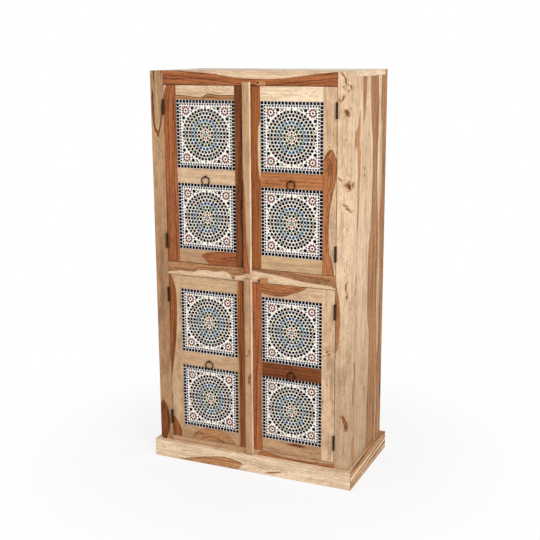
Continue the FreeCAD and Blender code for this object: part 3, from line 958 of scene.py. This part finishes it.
def mosaic():
    """The pieces of the pattern as (outline, glaze), about the middle of the tile, in millimetres."""
    pieces, taken = [], []

    def room(x, z):
        """How far a place lies from the laid pieces and from the border, in one quarter of the field."""
        clear = min(hypot(x - tx, z - tz) - reach for tx, tz, reach in taken)
        return min(clear, FIELD_WIDE - x, FIELD_HIGH - z)

    def add_dot(x, z, reach, tint):
        pieces.append((rounded(x, z, reach), tint))
        taken.append((x, z, reach))

    # border of dark squares, and a row of smaller ones inside it
    for count_x, count_z, inset, size, tint in BORDERS:
        half = size / 2
        wide, high = SHOWN_WIDE / 2 - inset, SHOWN_HIGH / 2 - inset
        for i in range(count_x):
            x = -wide + 2 * wide * i / (count_x - 1)
            pieces += [(oblong(half, half, x, z), tint) for z in (-high, high)]
        for i in range(1, count_z - 1):
            z = -high + 2 * high * i / (count_z - 1)
            pieces += [(oblong(half, half, x, z), tint) for x in (-wide, wide)]
    # corners: a small rosette with dots round it
    for sx, sz in oblong(1, 1):
        x, z = CORNER_X * sx, CORNER_Z * sz
        pieces.append((rounded(x, z, CORNER_HEART), "navy"))
        taken.append((x, z, CORNER_ROOM))
        for i in range(PETALS):
            petal = gem(PETAL_RING, 2 * pi * i / PETALS, PETAL_LONG, PETAL_WIDE)
            pieces.append(([(x + px, z + pz) for px, pz in petal], "maroon"))
        for dot_x, dot_z, reach, tint in CORNER_DOTS:
            add_dot(dot_x * sx, dot_z * sz, reach, tint)
    # a green dot in the middle of the upper and the lower side
    for z in (-SIDE_DOT_Z, SIDE_DOT_Z):
        add_dot(0, z, SIDE_DOT, "green")
    # rosette: rings of larger pieces round a dot
    pieces.append((rounded(0, 0, HEART_DOT), "green"))
    for radius, count, sizes, tints in RINGS:
        for i in range(count):
            angle = 2 * pi * (i + 0.5) / count
            x, z = radius * cos(angle), radius * sin(angle)
            size = sizes[i % 2]
            outline = gem(radius, angle, size, size)
            clear = all(hypot(x - tx, z - tz) > reach + size / 2 for tx, tz, reach in taken)
            if clear and in_field(outline):
                pieces.append((outline, tints[i % 2]))
                taken.append((x, z, size / 2))
    # smaller pieces in the gaps, the widest gaps first
    spots = [(x, z) for x in range(int(FIELD_WIDE)) for z in range(int(FIELD_HIGH))]
    for x, z in sorted(spots, key=lambda spot: room(*spot), reverse=True):
        reach = min(room(x, z) - GAP, LARGEST_FILL)
        if reach > SMALLEST_FILL:
            tint = next(name for limit, name in FILL_TINTS if hypot(x, z) < limit)
            for px, pz in sorted({(x, z), (-x, z), (x, -z), (-x, -z)}):
                add_dot(px, pz, reach, tint)
    return pieces


def raise_piece(tile, outline):
    """A mosaic piece that tapers up to the tile's face: its faces."""
    middle_x, middle_z = (sum(values) / len(outline) for values in zip(*outline))
    foot, top = [], []
    for x, z in outline:
        share = 1 - DRAFT / hypot(x - middle_x, z - middle_z)
        top_x, top_z = middle_x + (x - middle_x) * share, middle_z + (z - middle_z) * share
        foot.append(tile.verts.new((x * MM, (RELIEF + SUNK) * MM, z * MM)))
        top.append(tile.verts.new((top_x * MM, 0.0, top_z * MM)))
    faces = [tile.faces.new(top)]
    for i in range(len(outline)):
        j = (i + 1) % len(outline)
        faces.append(tile.faces.new((foot[i], foot[j], top[j], top[i])))
    return faces


def build_tile():
    """One tile about the middle of its face, facing -Y; its mosaic's tops are level with that face."""
    tile = bmesh.new()
    slab = oblong(SLAB_WIDE / 2, SLAB_HIGH / 2)
    rims = ((slab, SLAB_THICK), (slab, RELIEF), (oblong(FIELD_WIDE, FIELD_HIGH), RELIEF))
    back, front, field = ([tile.verts.new((x * MM, deep * MM, z * MM)) for x, z in corners]
                          for corners, deep in rims)
    tile.faces.new(back[::-1])
    tints = {"grout": [], "white": [tile.faces.new(field)]}
    for i in range(4):
        j = (i + 1) % 4
        tints["grout"].append(tile.faces.new((back[i], back[j], front[j], front[i])))
        tints["grout"].append(tile.faces.new((front[i], front[j], field[j], field[i])))
    for outline, tint in mosaic():
        tints.setdefault(tint, []).extend(raise_piece(tile, outline))
    for tint, faces in tints.items():
        for face in faces:
            face.material_index = glaze_names.index(tint)
    return finish_mesh("mosaic_tile", tile, glaze_materials)


tile_mesh = build_tile()
half = SLAB_HIGH / 2 * MM
for door in DOORS:
    node = door + "_tiles"
    low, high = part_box(node)
    for place, middle in (("bottom", low.z + half), ("top", high.z - half)):
        tile = add_object(f"{door}_{place}_tile", tile_mesh)
        tile.location = ((low.x + high.x) / 2, low.y, middle)
        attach(tile, door + "_door")
        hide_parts(node)


# Iron: hinges, screws, rings and eyes keep their solids

PATCHES = Pattern((120.0,) * 3, 3.0, 0.6, 0.35, 0.70)
GRIT = Pattern((1400.0,) * 3, 2.0, 0.5)
IRON_ROUGH, PATCH_ROUGH, IRON_BUMP, IRON_BUMP_DEPTH = 0.34, 0.22, 0.3, 0.0002
IRON_SHADER = {"Metallic": 0.55, "Specular IOR Level": 0.25, "Specular Tint": (0.45, 0.34, 0.25, 1.0)}


def iron(name, dark, light):
    """Oiled iron, with browner patches and a gritty surface."""
    def surface(tree):
        place = own_place(tree)
        patch = pattern(place, PATCHES)
        return {"Base Color": mix(patch, dark, light), "Roughness": plus(IRON_ROUGH, patch, PATCH_ROUGH),
                "Normal": bump(pattern(place, GRIT), IRON_BUMP, IRON_BUMP_DEPTH)}

    return finish_material(name, IRON_SHADER, surface)


hinge_iron = iron("hinge_iron", colour(44, 33, 25), colour(74, 52, 37))
ring_iron = iron("ring_iron", colour(42, 25, 13), colour(78, 49, 27))
frame_iron = ("hinge_frame_leaves", "hinge_pins", "hinge_screws", "button_screws")
iron_nodes = {node: hinge_iron for node in frame_iron}
for door in DOORS:
    iron_nodes[door + "_hinge_leaves"] = hinge_iron
    iron_nodes[door + "_ring"] = ring_iron
    iron_nodes[door + "_ring_eye"] = ring_iron
for node, material in iron_nodes.items():
    data = frame["nodes"][node].data
    data.materials.clear()
    data.materials.append(material)


# Studio: white floor, white surroundings, soft lamps from the right, the front and the back

WHITE, PAPER = (1.0, 1.0, 1.0, 1.0), (0.86, 0.86, 0.86, 1.0)
FLOOR_HALF = 6.0
# The floor's white shows in full from far away, and in this share near the object, where the shadow lies
NEAR, FAR, NEAR_SHARE = 0.4, 1.0, 0.82
WORLD_STRENGTH = 0.50
LAMP_TARGET = (0.0, 0.0, 0.6)
# Lamps: name, place, size and power
LAMPS = (
    ("key", (3.0, -2.1, 2.4), 2.6, 101.0),
    ("fill", (-1.6, -3.2, 1.6), 2.0, 26.0),
    ("back", (-2.6, 2.4, 0.8), 1.2, 30.0),
)


def seen_directly(tree):
    """1 where the camera sees a surface, by itself, in a reflection or through glass, and else 0."""
    path = add_node("LightPath", {}, tree).outputs
    bounced = calc("MAXIMUM", path["Is Glossy Ray"], path["Is Transmission Ray"])
    return calc("MAXIMUM", path["Is Camera Ray"], bounced)


def add_floor():
    mesh = bpy.data.meshes.new("floor")
    mesh.from_pydata([(x, y, 0) for x, y in oblong(FLOOR_HALF, FLOOR_HALF)], [], [(0, 1, 2, 3)])
    floor = add_object("floor", mesh)
    look = bpy.data.materials.new("floor_white")
    look.use_nodes = True
    tree = look.node_tree
    tree.nodes.clear()
    paper = add_node("BsdfDiffuse", {"Color": PAPER}, tree).outputs[0]
    glow = add_node("Emission", {"Color": WHITE, "Strength": 1.0}, tree).outputs[0]
    place = add_node("NewGeometry", {}, tree).outputs["Position"]
    away = add_node("VectorMath", {0: place}, operation="LENGTH").outputs["Value"]
    share = times(seen_directly(tree), spread(away, NEAR, FAR, NEAR_SHARE, 1.0))
    surface = add_node("MixShader", {0: share, 1: paper, 2: glow}).outputs[0]
    add_node("OutputMaterial", {"Surface": surface})
    mesh.materials.append(look)


def add_world():
    world = bpy.data.worlds.new("studio")
    scene.world = world
    world.use_nodes = True
    tree = world.node_tree
    tree.nodes.clear()
    strength = plus(WORLD_STRENGTH, seen_directly(tree), 1.0 - WORLD_STRENGTH)
    sky = add_node("Background", {"Color": WHITE, "Strength": strength}).outputs[0]
    add_node("OutputWorld", {"Surface": sky})


def add_lamp(name, place, size, power):
    light = bpy.data.lights.new(name, "AREA")
    light.size = size
    light.energy = power
    holder = add_object(name, light)
    holder.location = place
    holder.rotation_mode = "QUATERNION"
    holder.rotation_quaternion = (Vector(LAMP_TARGET) - Vector(place)).to_track_quat("-Z", "Y")


add_floor()
add_world()
for lamp in LAMPS:
    add_lamp(*lamp)

# Camera at the photograph's place
CAMERA_PLACE = Vector((1155.0, -2621.0, 1267.0)) * MM
YAW, PITCH, ROLL = radians(23.81), radians(13.07), radians(-0.3)
FOCAL_PIXELS, FRAME_PIXELS, SENSOR = 948.0, 540, 36.0
ahead = Vector((-sin(YAW) * cos(PITCH), cos(YAW) * cos(PITCH), -sin(PITCH)))
level_right = Vector((cos(YAW), sin(YAW), 0.0))
level_up = level_right.cross(ahead)
right = level_right * cos(ROLL) + level_up * sin(ROLL)
up = level_up * cos(ROLL) - level_right * sin(ROLL)
lens_data = bpy.data.cameras.new("camera")
lens_data.sensor_width = SENSOR
lens_data.lens = FOCAL_PIXELS * SENSOR / FRAME_PIXELS
camera = add_object("camera", lens_data)
camera.matrix_world = Matrix.Translation(CAMERA_PLACE) @ Matrix((right, up, -ahead)).transposed().to_4x4()
scene.camera = camera
scene.view_settings.view_transform = "Standard"
